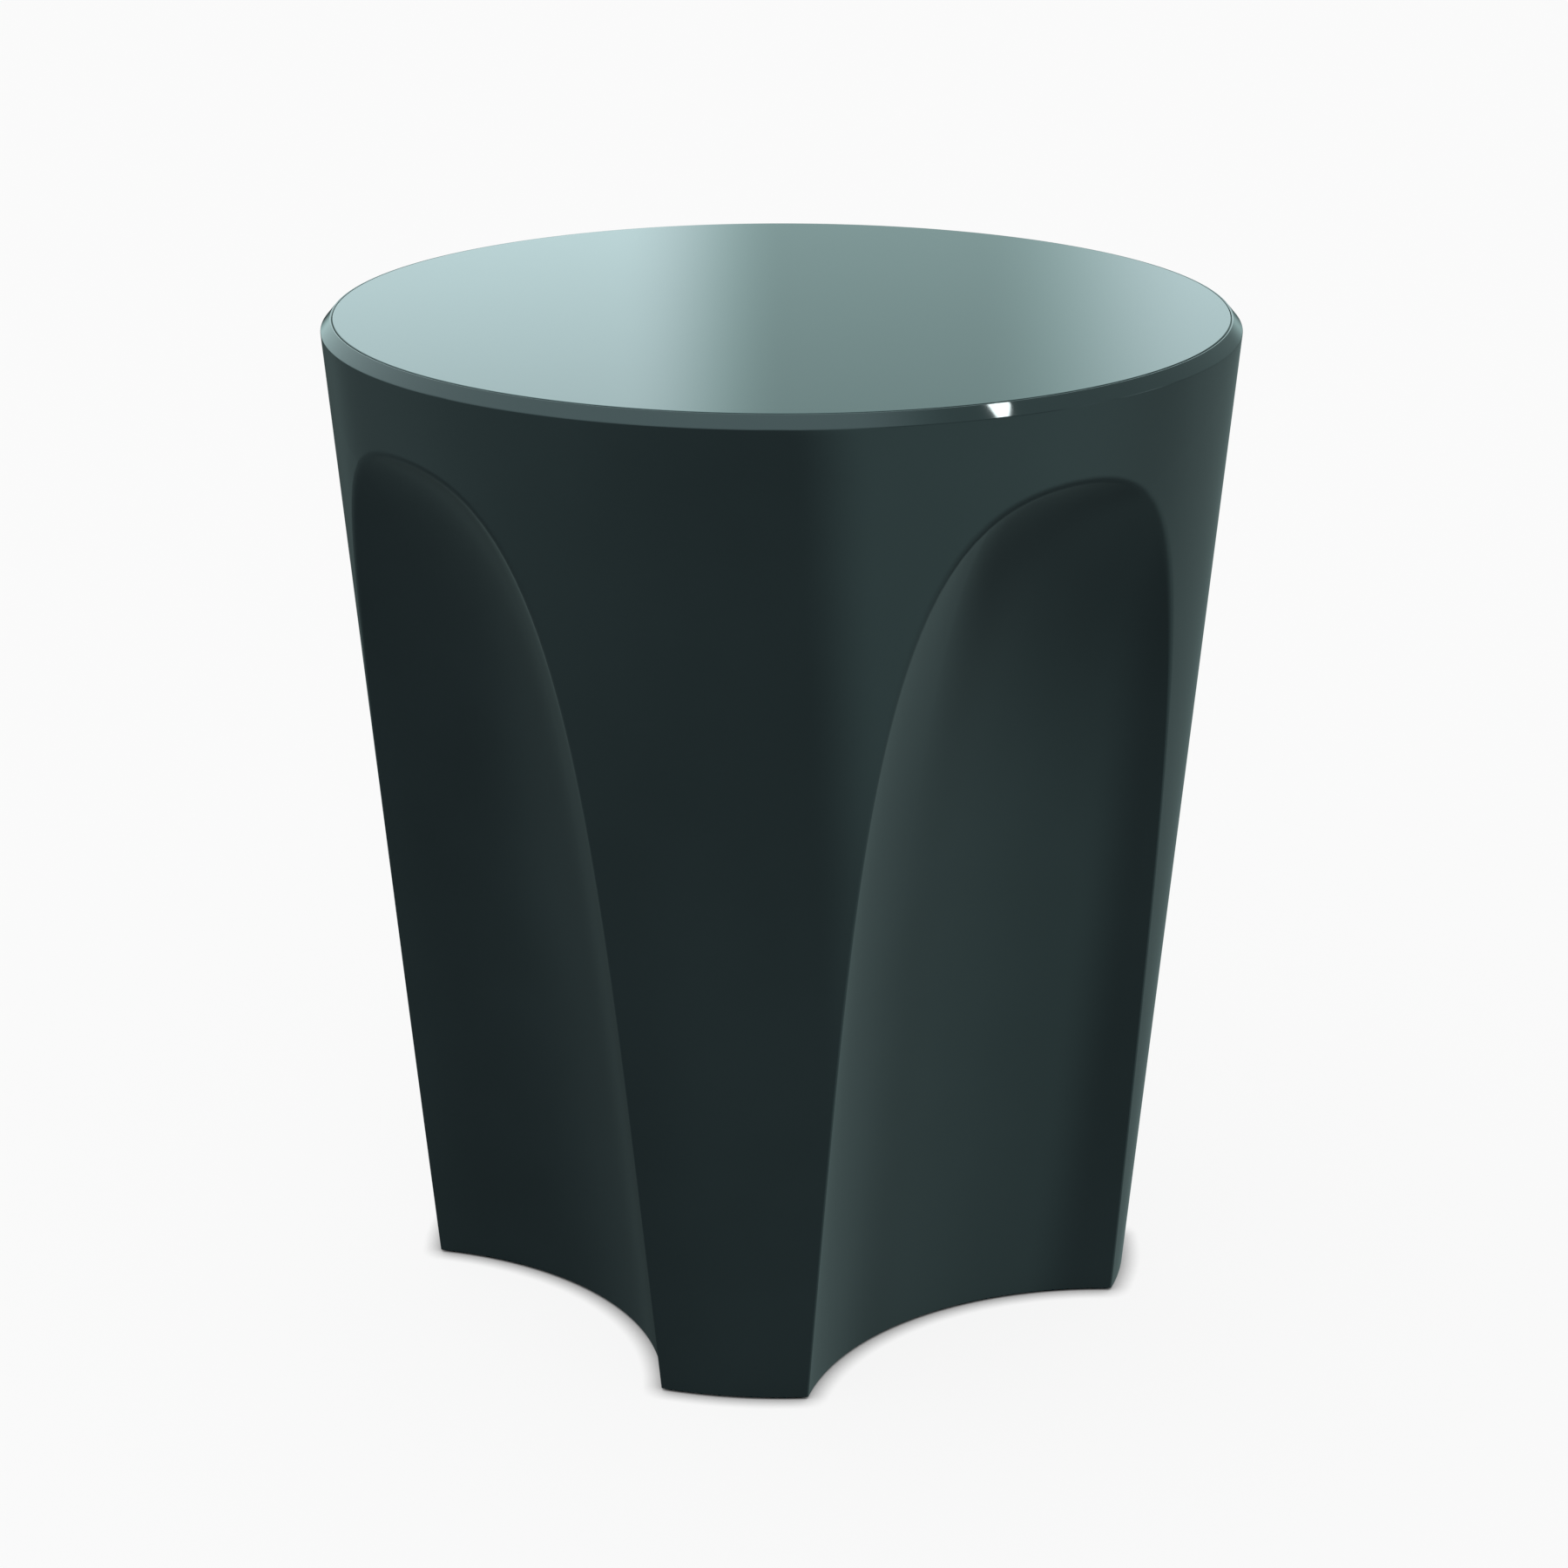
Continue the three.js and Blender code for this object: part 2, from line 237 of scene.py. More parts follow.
class Recipe:
    """The nodes of one material or world."""

    def __init__(self, tree):
        self.tree = tree
        tree.nodes.clear()

    def node(self, kind, settings=None, values=None):
        made = self.tree.nodes.new(kind)
        for key, value in (settings or {}).items():
            if key == "stops":
                self.set_stops(made.color_ramp, value)
            else:
                setattr(made, key, value)
        for key, value in (values or {}).items():
            self.feed(made.inputs[key], value)
        return made

    def feed(self, socket, value):
        if isinstance(value, Number):
            value = value.socket
        if isinstance(value, bpy.types.NodeSocket):
            self.tree.links.new(value, socket)
        else:
            socket.default_value = value

    def set_stops(self, ramp, stops):
        while len(ramp.elements) < len(stops):
            ramp.elements.new(1.0)
        for element, (place, colour) in zip(ramp.elements, stops):
            element.position = place
            element.color = (*colour, 1.0)

    def number(self, kind, settings, values, output=0):
        return Number(self, self.node(kind, settings, values).outputs[output])

    def noise(self, scale, detail=2.0, roughness=0.5, stretch=(1.0, 1.0, 1.0)):
        """Noise on the piece's own coordinates, scale in features per metre."""
        place = self.node("ShaderNodeTexCoord").outputs["Object"]
        turned = self.node("ShaderNodeMapping", None, {"Vector": place, "Scale": stretch}).outputs[0]
        return self.number(
            "ShaderNodeTexNoise", None,
            {"Vector": turned, "Scale": scale, "Detail": detail, "Roughness": roughness}, "Fac")

    def blend(self, factor, low, high):
        """A colour between low and high."""
        node = self.node(
            "ShaderNodeMix", {"data_type": "RGBA"},
            {"Factor": factor, 6: (*low, 1.0), 7: (*high, 1.0)})
        return node.outputs[2]

    def bump(self, height, distance, strength=1.0):
        node = self.node(
            "ShaderNodeBump", None, {"Height": height, "Distance": distance, "Strength": strength})
        return node.outputs["Normal"]


def new_material(name, preview):
    material = bpy.data.materials.new(name)
    material.use_nodes = True
    material.diffuse_color = (*preview, 1.0)
    return material, Recipe(material.node_tree)


def finish_surface(recipe, values):
    surface = recipe.node("ShaderNodeBsdfPrincipled", None, values)
    recipe.node("ShaderNodeOutputMaterial", None, {"Surface": surface.outputs[0]})


def scaled(colour, share):
    return tuple(channel * share for channel in colour)


# Finishes


def gloss_lacquer(name, colour, tint, roughness, waviness):
    """Sprayed and polished lacquer: a deep body colour, faint clouding and a trace of orange peel."""
    material, recipe = new_material(name, colour)
    clouding = recipe.noise(9.0, 3.0, 0.55)
    polish = recipe.noise(55.0, 4.0, 0.6)
    peel = recipe.noise(260.0, 2.0, 0.4)
    finish_surface(recipe, {
        "Base Color": recipe.blend(clouding.step(0.3, 0.7), scaled(colour, 0.92), scaled(colour, 1.08)),
        "Roughness": roughness * 0.75 + polish * (roughness * 0.5),
        "IOR": 1.5,
        "Specular Tint": (*tint, 1.0),
        "Normal": recipe.bump(peel, waviness),
    })
    return material


def grained_plastic(name, colour, roughness, grain):
    """Moulded or sheet plastic with a fine spark-eroded grain."""
    material, recipe = new_material(name, colour)
    pits = recipe.noise(1400.0, 3.0, 0.6)
    scuffs = recipe.noise(40.0, 4.0, 0.65)
    finish_surface(recipe, {
        "Base Color": recipe.blend(scuffs, scaled(colour, 0.85), scaled(colour, 1.2)),
        "Roughness": roughness + scuffs * 0.12,
        "Normal": recipe.bump(pits, grain),
    })
    return material


def zinc_plate(name):
    """Bright zinc on turned steel, with faint tool marks round the axis and cloudy passivation."""
    material, recipe = new_material(name, (0.62, 0.63, 0.64))
    clouding = recipe.noise(180.0, 3.0, 0.6)
    marks = recipe.noise(120.0, 2.0, 0.5, (1.0, 1.0, 30.0))
    finish_surface(recipe, {
        "Base Color": recipe.blend(clouding, (0.50, 0.51, 0.53), (0.68, 0.69, 0.68)),
        "Metallic": 1.0,
        "Roughness": 0.24 + clouding * 0.14,
        "Normal": recipe.bump(marks, 0.02 * MM),
    })
    return material


def turned_brass():
    """Machined brass with tool marks and slight tarnish."""
    material, recipe = new_material("turned_brass", (0.62, 0.44, 0.16))
    tarnish = recipe.noise(150.0, 4.0, 0.6)
    marks = recipe.noise(120.0, 2.0, 0.5, (1.0, 1.0, 30.0))
    finish_surface(recipe, {
        "Base Color": recipe.blend(tarnish, (0.48, 0.32, 0.11), (0.72, 0.53, 0.22)),
        "Metallic": 1.0,
        "Roughness": 0.25 + tarnish * 0.2,
        "Normal": recipe.bump(marks, 0.02 * MM),
    })
    return material


def plain_wood(name, light, dark, stretch):
    """Planed timber: long streaks along the grain and short dark flecks."""
    material, recipe = new_material(name, light)
    streaks = recipe.noise(26.0, 4.0, 0.6, stretch)
    flecks = recipe.noise(220.0, 2.0, 0.6, stretch)
    shade = streaks * 0.7 + flecks.step(0.55, 0.75) * 0.3
    finish_surface(recipe, {
        "Base Color": recipe.blend(shade, light, dark),
        "Roughness": 0.55 + flecks * 0.25,
        "Normal": recipe.bump(flecks, 0.08 * MM),
    })
    return material


def plywood():
    """Birch plywood: thin plies that show as bands on the edge, and long grain on the faces."""
    material, recipe = new_material("birch_plywood", (0.55, 0.40, 0.24))
    place = recipe.node("ShaderNodeTexCoord").outputs["Object"]
    height = recipe.number("ShaderNodeSeparateXYZ", None, {"Vector": place}, "Z")
    ply = 2.0 * MM
    band = height.sum("PINGPONG", height, ply).step(0.4 * ply, 0.6 * ply)
    grain = recipe.noise(30.0, 4.0, 0.6, (1.0, 12.0, 1.0))
    finish_surface(recipe, {
        "Base Color": recipe.blend(band * 0.35 + grain * 0.5, (0.66, 0.50, 0.31), (0.38, 0.25, 0.13)),
        "Roughness": 0.6 + grain * 0.2,
        "Normal": recipe.bump(grain, 0.05 * MM),
    })
    return material


def closed_cell_foam():
    """Black closed-cell foam with small round cells."""
    material, recipe = new_material("closed_cell_foam", (0.02, 0.02, 0.022))
    place = recipe.node("ShaderNodeTexCoord").outputs["Object"]
    cells = recipe.number("ShaderNodeTexVoronoi", None, {"Vector": place, "Scale": 900.0}, "Distance")
    finish_surface(recipe, {
        "Base Color": recipe.blend(cells, (0.014, 0.014, 0.015), (0.030, 0.030, 0.032)),
        "Roughness": 0.85 + cells * 0.1,
        "Normal": recipe.bump(cells, 0.1 * MM),
    })
    return material


# Working with meshes


def start_fresh():
    """Deselects everything, so that an operator acts only on what is made next."""
    if bpy.context.object is not None and bpy.context.object.mode != "OBJECT":
        bpy.ops.object.mode_set(mode="OBJECT")
    bpy.ops.object.select_all(action="DESELECT")


def edit(piece, kind="VERT"):
    start_fresh()
    bpy.context.view_layer.objects.active = piece
    piece.select_set(True)
    bpy.ops.object.mode_set(mode="EDIT")
    bpy.ops.mesh.select_mode(type=kind)
    bpy.ops.mesh.select_all(action="DESELECT")


def done():
    bpy.ops.object.mode_set(mode="OBJECT")


def select_open_edges(piece, test):
    """Selects the open edges whose middle passes the test."""
    mesh = bmesh.from_edit_mesh(piece.data)
    for edge in mesh.edges:
        if edge.is_boundary and test((edge.verts[0].co + edge.verts[1].co) / 2):
            edge.select_set(True)
    bmesh.update_edit_mesh(piece.data)


def use_modifier(piece, kind, settings):
    start_fresh()
    bpy.context.view_layer.objects.active = piece
    piece.select_set(True)
    modifier = piece.modifiers.new(kind.lower(), kind)
    for key, value in settings.items():
        setattr(modifier, key, value)
    bpy.ops.object.modifier_apply(modifier=modifier.name)


def smooth(piece):
    """Smooth shading across gentle turns, with the large faces kept true."""
    start_fresh()
    bpy.context.view_layer.objects.active = piece
    piece.select_set(True)
    bpy.ops.object.shade_smooth_by_angle(angle=40 * DEGREE)
    use_modifier(piece, "WEIGHTED_NORMAL", {"mode": "FACE_AREA", "weight": 50, "keep_sharp": True})


def close_up(piece):
    """Merges doubles and turns every face outwards."""
    edit(piece)
    bpy.ops.mesh.select_all(action="SELECT")
    bpy.ops.mesh.remove_doubles(threshold=SAME_PLACE)
    bpy.ops.mesh.dissolve_degenerate(threshold=SAME_PLACE / 2)
    bpy.ops.mesh.normals_make_consistent(inside=False)
    done()


def join(target, others):
    start_fresh()
    for piece in others:
        piece.select_set(True)
    target.select_set(True)
    bpy.context.view_layer.objects.active = target
    bpy.ops.object.join()
    return target


def settle(piece, name, body, material, slot, *nodes):
    """Names a finished piece, gives it its finish and lets it ride in place of its CAD nodes."""
    piece.name = name
    piece.data.name = name
    piece.data.materials.clear()
    piece.data.materials.append(material)
    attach(piece, body)
    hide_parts(*nodes)


def rounded(points, radii, steps=4):
    """An open outline of (radius, height) points with its inner corners turned into arcs."""
    outline = [points[0]]
    for before, corner, after, radius in zip(points, points[1:], points[2:], radii):
        if radius == 0:
            outline.append(corner)
            continue
        corner = np.array(corner)
        back = np.array(before) - corner
        ahead = np.array(after) - corner
        back /= np.linalg.norm(back)
        ahead /= np.linalg.norm(ahead)
        half = math.acos(float(np.clip(back @ ahead, -1, 1))) / 2
        reach = radius / math.tan(half)
        middle = (back + ahead) / np.linalg.norm(back + ahead)
        centre = corner + middle * radius / math.sin(half)
        first = corner + back * reach - centre
        last = corner + ahead * reach - centre
        sweep = math.pi - 2 * half
        turn = math.copysign(1, first[0] * last[1] - first[1] * last[0])
        for step in range(steps + 1):
            angle = turn * sweep * step / steps
            cosine, sine = math.cos(angle), math.sin(angle)
            spoke = (first[0] * cosine - first[1] * sine, first[0] * sine + first[1] * cosine)
            outline.append((centre[0] + spoke[0], centre[1] + spoke[1]))
    outline.append(points[-1])
    return outline


def turned_piece(outline, centre, sides):
    """Spins an outline of (radius, height) points about an upright line through centre."""
    start_fresh()
    bpy.ops.mesh.primitive_plane_add(size=MM)
    piece = bpy.context.object
    edit(piece)
    bpy.ops.mesh.select_all(action="SELECT")
    bpy.ops.mesh.merge(type="CENTER")
    bpy.ops.transform.translate(value=(centre[0] + outline[0][0], centre[1], outline[0][1]))
    for (radius, height), (next_radius, next_height) in zip(outline, outline[1:]):
        step = (next_radius - radius, 0, next_height - height)
        bpy.ops.mesh.extrude_vertices_move(TRANSFORM_OT_translate={"value": step})
    bpy.ops.mesh.select_all(action="SELECT")
    bpy.ops.mesh.spin(
        steps=sides, angle=2 * math.pi, center=(centre[0], centre[1], 0), axis=(0, 0, 1))
    done()
    close_up(piece)
    return piece


def upright_prism(centre, radius, low, high, sides):
    """A prism to cut or join with, its place in its mesh."""
    start_fresh()
    bpy.ops.mesh.primitive_cylinder_add(vertices=sides, radius=radius, depth=high - low)
    prism = bpy.context.object
    edit(prism)
    bpy.ops.mesh.select_all(action="SELECT")
    bpy.ops.transform.translate(value=(centre[0], centre[1], (low + high) / 2))
    done()
    return prism


def combine(piece, tool, operation):
    """Cuts a piece with a tool or unites the two, and removes the tool."""
    use_modifier(piece, "BOOLEAN", {"operation": operation, "object": tool, "solver": "EXACT"})
    bpy.data.objects.remove(tool)
    close_up(piece)


def quarter_turns(piece):
    """The piece and three copies of it, each a quarter turn on: front, right, back and left."""
    pieces = [piece]
    for step in range(1, len(SIDES)):
        start_fresh()
        piece.select_set(True)
        bpy.context.view_layer.objects.active = piece
        bpy.ops.object.duplicate()
        copy = bpy.context.object
        edit(copy)
        bpy.ops.mesh.select_all(action="SELECT")
        bpy.ops.transform.rotate(
            value=-step * math.pi / 2, orient_axis="Z", orient_type="GLOBAL", center_override=(0, 0, 0))
        done()
        pieces.append(copy)
    return pieces


# The shell's form


class DrumForm:
    """The outer form of the drum, or the same form drawn in by an inset."""

    def __init__(self, sizes, inset, low, high):
        self.sizes = sizes
        self.inset = inset
        self.low = low
        self.high = high
        self.round = sizes.scoop_radius + inset
        self.find_arch()

    def cone(self, z):
        sizes = self.sizes
        rim = SHELL_HIGH.z - sizes.chamfer_height
        growth = (SHELL_HIGH.x - sizes.foot_radius) / rim
        return sizes.foot_radius + growth * z - self.inset

    def depth_line(self, z):
        sizes = self.sizes
        rise = np.clip(np.asarray(z, float) / sizes.roof_height, 0, 1)
        roof = 1 - np.sqrt(1 - rise ** sizes.roof_power)
        return sizes.scoop_start + sizes.scoop_draft * z + sizes.roof_reach * roof

    def centre(self, z):
        return self.depth_line(z) + self.sizes.scoop_radius

    def find_arch(self):
        """The edge where the scoop meets the cone: its height and half width, by the length along it."""
        samples = 6001
        z = self.low + (self.sizes.roof_height - self.low) * np.sin(np.linspace(0, math.pi / 2, samples))
        centre = self.centre(z)
        cone = self.cone(z)
        out = (centre ** 2 + cone ** 2 - self.round ** 2) / (2 * centre)
        span = cone ** 2 - out ** 2
        last = int(np.argmax(span < 0))
        share = span[last - 1] / (span[last - 1] - span[last])
        crown = z[last - 1] + share * (z[last] - z[last - 1])
        z = np.append(z[:last], crown)
        out = np.append(out[:last], self.cone(crown))
        half = np.sqrt(np.append(span[:last], 0))
        steps = np.sqrt(np.diff(z) ** 2 + np.diff(out) ** 2 + np.diff(half) ** 2)
        self.arch_run = np.concatenate([[0], np.cumsum(steps)])
        self.arch_z = z
        self.arch_half = half

    def arch_point(self, run):
        """A point of the arch at a length from the floor, on the side of negative half width."""
        z = np.interp(run, self.arch_run, self.arch_z)
        half = np.interp(run, self.arch_run, self.arch_half)
        return np.stack([np.sqrt(self.cone(z) ** 2 - half ** 2), -half, z], -1)

    def on_cone(self, angle, z):
        cone = self.cone(z)
        return np.stack([cone * np.cos(angle), cone * np.sin(angle), z], -1)

    def on_scoop(self, angle, z):
        centre = self.centre(z)
        return np.stack([centre - self.round * np.cos(angle), self.round * np.sin(angle), z], -1)

    def cone_normal(self, points):
        flat = points * (1, 1, 0)
        flat /= np.linalg.norm(flat, axis=-1, keepdims=True)
        slope = self.cone(1.0) - self.cone(0.0)
        normal = flat - np.array([0, 0, slope])
        return normal / np.linalg.norm(normal, axis=-1, keepdims=True)

    def scoop_normal(self, points):
        z = points[..., 2]
        step = 0.01 * MM
        lean = (self.centre(z) - self.centre(z - step)) / step
        out = self.centre(z) - points[..., 0]
        normal = np.stack([out, -points[..., 1], -out * lean], -1)
        return normal / np.linalg.norm(normal, axis=-1, keepdims=True)


def half_patch(form, columns, rows, reach_low, reach_high):
    """Points of one half of a quarter: rows run from the scoop, over the rounding, to the cone.

    The quarter's middle line is +X, and the half lies towards -Y. The columns start down the quarter's
    side line and turn the corner to the rim at half way. Returns rows by columns by 3.
    """
    share = np.linspace(0, 1, columns + 1)
    # The columns turn the corner at these shares of the columns, of the arch's length and of the floor's
    corner = 0.5
    arch_corner = 0.90
    floor_corner = 0.62
    # The rounding widens above this share of the crown's height, and near the floor it turns level
    roof_start = 0.6
    foot_blend = 30 * MM
    nearby = 0.05 * MM
    whole = form.arch_run[-1]
    run = whole * np.interp(share, [0, corner, 1], [0, arch_corner, 1])
    crest = form.arch_point(run)
    crest[-1, 1] = 0
    ahead = form.arch_point(np.minimum(run + nearby, whole))
    behind = form.arch_point(np.maximum(run - nearby, 0))
    along = ahead - behind
    along[-1] = (0, 1, 0)
    along /= np.linalg.norm(along, axis=-1, keepdims=True)

    rise = np.clip((crest[:, 2] / crest[-1, 2] - roof_start) / (1 - roof_start), 0, 1)
    reach = (reach_low + (reach_high - reach_low) * rise ** 2 * (3 - 2 * rise))[:, None]
    level = np.clip((crest[:, 2] - form.low) / foot_blend, 0, 1)[:, None]
    flat = 1 - (1 - level) * np.array([0, 0, 1])
    outward = np.cross(form.cone_normal(crest), along) * flat
    inward = -np.cross(form.scoop_normal(crest), along) * flat

    cone_side = crest + reach * outward
    cone_angle = np.arctan2(cone_side[:, 1], cone_side[:, 0])
    cone_side = form.on_cone(cone_angle, cone_side[:, 2])
    scoop_side = crest + reach * inward
    scoop_angle = np.arctan2(scoop_side[:, 1], form.centre(scoop_side[:, 2]) - scoop_side[:, 0])
    scoop_side = form.on_scoop(scoop_angle, scoop_side[:, 2])

    inner, bend, outer = rows
    grid = []
    floor_share = np.interp(share, [0, corner, 1], [0, floor_corner, 1])
    floor_angle = scoop_angle[0] * (1 - floor_share)
    for row in range(inner):
        climb = math.sin(row / inner * math.pi / 2)
        angle = floor_angle + (scoop_angle - floor_angle) * climb
        z = form.low + (scoop_side[:, 2] - form.low) * climb
        grid.append(form.on_scoop(angle, z))
    to_cone = cone_side - crest
    to_scoop = scoop_side - crest
    lengths = np.linalg.norm(to_cone, axis=1) * np.linalg.norm(to_scoop, axis=1)
    opening = np.arccos(np.clip(np.sum(to_cone * to_scoop, 1) / np.maximum(lengths, 1e-15), -1, 1))
    weight = np.sin(opening / 2)[:, None]
    for row in range(bend + 1):
        t = row / bend
        low, mid, high = (1 - t) ** 2, 2 * t * (1 - t) * weight, t ** 2
        grid.append((low * scoop_side + mid * crest + high * cone_side) / (low + mid + high))
    quarter = math.pi / 4
    edge_angle = -quarter * np.interp(share, [0, corner, 1], [1, 1, 0])
    edge_z = form.low + (form.high - form.low) * np.interp(share, [0, corner, 1], [0, 1, 1])
    cone_z = cone_side[:, 2]
    for row in range(1, outer + 1):
        t = row / outer
        angle = cone_angle + (edge_angle - cone_angle) * t
        grid.append(form.on_cone(angle, cone_z + (edge_z - cone_z) * t))
    return np.array(grid)


def drum_quarter(form, columns, rows, reach_low, reach_high):
    """A grid laid over one quarter of the drum, from the front line to the right one."""
    half = half_patch(form, columns, rows, reach_low, reach_high)
    mirrored = half[:, ::-1][:, 1:] * (1, -1, 1)
    places = np.concatenate([half, mirrored], axis=1)
    tall, wide = places.shape[0] - 1, places.shape[1] - 1
    start_fresh()
    bpy.ops.mesh.primitive_grid_add(x_subdivisions=wide, y_subdivisions=tall, size=1)
    skin = bpy.context.object
    flat = np.array([vertex.co[:2] for vertex in skin.data.vertices])
    column = np.rint((flat[:, 0] + 0.5) * wide).astype(int)
    row = np.rint((flat[:, 1] + 0.5) * tall).astype(int)
    placed = places[row, column]
    eighth = math.cos(math.pi / 4)
    turned = np.stack([
        (placed[:, 0] - placed[:, 1]) * eighth,
        (placed[:, 0] + placed[:, 1]) * eighth,
        placed[:, 2]], -1)
    skin.data.vertices.foreach_set("co", turned.ravel())
    return skin


def pull_rings(piece, outline):
    """Extrudes the selected level ring through each (radius, height) of the outline."""
    radius, height = outline[0]
    for next_radius, next_height in outline[1:]:
        bpy.ops.mesh.extrude_edges_move()
        share = next_radius / radius
        if share != 1:
            bpy.ops.transform.resize(value=(share, share, 1), center_override=(0, 0, 0))
        bpy.ops.transform.translate(value=(0, 0, next_height - height))
        radius, height = next_radius, next_height


def build_shell(sizes, hardware):
    """The shell: outer skin and inner wall, joined along the floor and by rim, shelf and flange."""
    crown_ease = 0.4 * MM
    bore_ease = 0.1 * MM
    inner_side_round = 0.3 * MM
    inner_arch_round = 0.6 * MM
    rim = SHELL_HIGH.z - sizes.chamfer_height
    chamfer_top = SHELL_HIGH.x - sizes.chamfer_width
    bore = DISC_HIGH.x + sizes.seam
    pocket = BOARD_HIGH.x + sizes.seam
    shelf = BOARD_HIGH.z
    flange_top = GASKET_LOW.z - hardware.fit_gap
    flange_low = flange_top - sizes.flange
    skin_form = DrumForm(sizes, 0, SHELL_LOW.z, rim)
    foot = float(skin_form.cone(SHELL_LOW.z))
    wall_form = DrumForm(sizes, sizes.wall, SHELL_LOW.z, flange_low)
    inside = float(wall_form.cone(flange_low))
    outline = rounded(
        [(foot, SHELL_LOW.z), (SHELL_HIGH.x, rim), (chamfer_top, SHELL_HIGH.z),
         (bore, SHELL_HIGH.z - sizes.rim_fall), (bore, shelf), (pocket, shelf), (pocket, flange_top),
         (sizes.opening, flange_top), (sizes.opening, flange_low), (inside, flange_low)],
        [sizes.edge_round, crown_ease, bore_ease, 0, 0, 0, 0, 0])
    skin_form.high = outline[1][1]
    skin = drum_quarter(skin_form, SKIN_COLUMNS, SKIN_ROWS, sizes.side_round, sizes.arch_round)
    wall = drum_quarter(wall_form, SKIN_COLUMNS, WALL_ROWS, inner_side_round, inner_arch_round)
    join(skin, [wall])
    edit(skin, "EDGE")
    select_open_edges(skin, lambda place: place.z < SHELL_LOW.z + SAME_PLACE)
    bpy.ops.mesh.bridge_edge_loops()
    done()
    join(skin, quarter_turns(skin)[1:])
    close_up(skin)
    edit(skin, "EDGE")
    select_open_edges(skin, lambda place: place.z > flange_top)
    pull_rings(skin, outline[1:])
    done()
    close_up(skin)
    return skin


# Pieces of the underside, each made on the front foot or for the whole base


def middle_of(low, high):
    """The place of a box's upright middle line."""
    return ((low.x + high.x) / 2, (low.y + high.y) / 2)


def around(place):
    """How far round the axis a place lies, from 0 to a full turn."""
    return math.atan2(place[1], place[0]) % (2 * math.pi)


def panel_plan(form, z):
    """The plan of the feet at a height: for each quarter an arc of the scoop and one of the foot."""
    corner = form.arch_point(0.0)
    reach = math.atan2(-corner[1], form.centre(z) - corner[0])
    start = math.atan2(-corner[1], corner[0])
    scoop_angles = np.linspace(-reach, reach, 49)
    foot_angles = np.linspace(start, math.pi / 2 - start, 25)[1:-1]
    scoop = form.on_scoop(scoop_angles, np.full(len(scoop_angles), z))
    foot = form.on_cone(foot_angles, np.full(len(foot_angles), z))
    plan = []
    for quarter in range(len(SIDES)):
        middle = (quarter + 0.5) * math.pi / 2
        cosine, sine = math.cos(middle), math.sin(middle)
        for x, y, _ in np.concatenate([scoop, foot]):
            plan.append((x * cosine - y * sine, x * sine + y * cosine, z))
    return plan


def build_base_panel(sizes, hardware):
    """The closing panel: the plan of the feet inside the wall, with eased edges and round holes."""
    form = DrumForm(sizes, sizes.wall + sizes.panel_gap, PANEL_LOW.z, PANEL_HIGH.z)
    plan = panel_plan(form, PANEL_LOW.z)
    start_fresh()
    bpy.ops.mesh.primitive_circle_add(vertices=len(plan), radius=SHELL_HIGH.x, fill_type="NGON")
    panel = bpy.context.object
    ring = sorted(panel.data.vertices, key=lambda vertex: around(vertex.co))
    for vertex, place in zip(ring, sorted(plan, key=around)):
        vertex.co = place
    edit(panel, "FACE")
    bpy.ops.mesh.select_all(action="SELECT")
    bpy.ops.mesh.extrude_region_move(TRANSFORM_OT_translate={"value": (0, 0, PANEL_HIGH.z - PANEL_LOW.z)})
    done()
    close_up(panel)

    under, over = PANEL_LOW.z - MM, PANEL_HIGH.z + MM
    glide = middle_of(PAD_LOW, PAD_HIGH)
    screw = middle_of(SCREW_LOW, SCREW_HIGH)
    glide_hole = (INSERT_HIGH.x - INSERT_LOW.x) / 2 + MM
    shank_hole = hardware.shank_radius + hardware.fit_gap
    head_hole = (SCREW_HIGH.x - SCREW_LOW.x) / 2 + hardware.fit_gap
    head_top = PANEL_LOW.z + hardware.head_height + hardware.fit_gap
    holes = ((glide, glide_hole, over), (screw, shank_hole, over), (screw, head_hole, head_top))
    for centre, radius, top in holes:
        for cutter in quarter_turns(upright_prism(centre, radius, under, top, ROUND_SIDES)):
            combine(panel, cutter, "DIFFERENCE")
    use_modifier(panel, "BEVEL", {
        "width": 0.5 * MM, "segments": 2, "limit_method": "ANGLE", "angle_limit": 50 * DEGREE,
        "use_clamp_overlap": True})
    return panel


def build_pad(hardware):
    """The nylon pad: a flat sole, an eased rim and a lipped socket for the stem's foot."""
    radius = (PAD_HIGH.y - PAD_LOW.y) / 2
    top = PAD_HIGH.z
    shoulder = 2.5 * MM
    mouth = hardware.neck_radius + hardware.fit_gap
    socket = hardware.ball_radius + hardware.fit_gap
    under_lip = top - hardware.pad_lip
    points = [
        (0, PAD_LOW.z), (radius, PAD_LOW.z), (radius, top / 2), (radius - shoulder, top), (mouth, top),
        (mouth, under_lip), (socket, under_lip), (socket, hardware.pad_sole), (0, hardware.pad_sole)]
    outline = rounded(points, [0.8 * MM, 0.8 * MM, 0.8 * MM, 0.2 * MM, 0.1 * MM, 0.1 * MM, 0.3 * MM])
    return turned_piece(outline, middle_of(PAD_LOW, PAD_HIGH), PAD_SIDES)


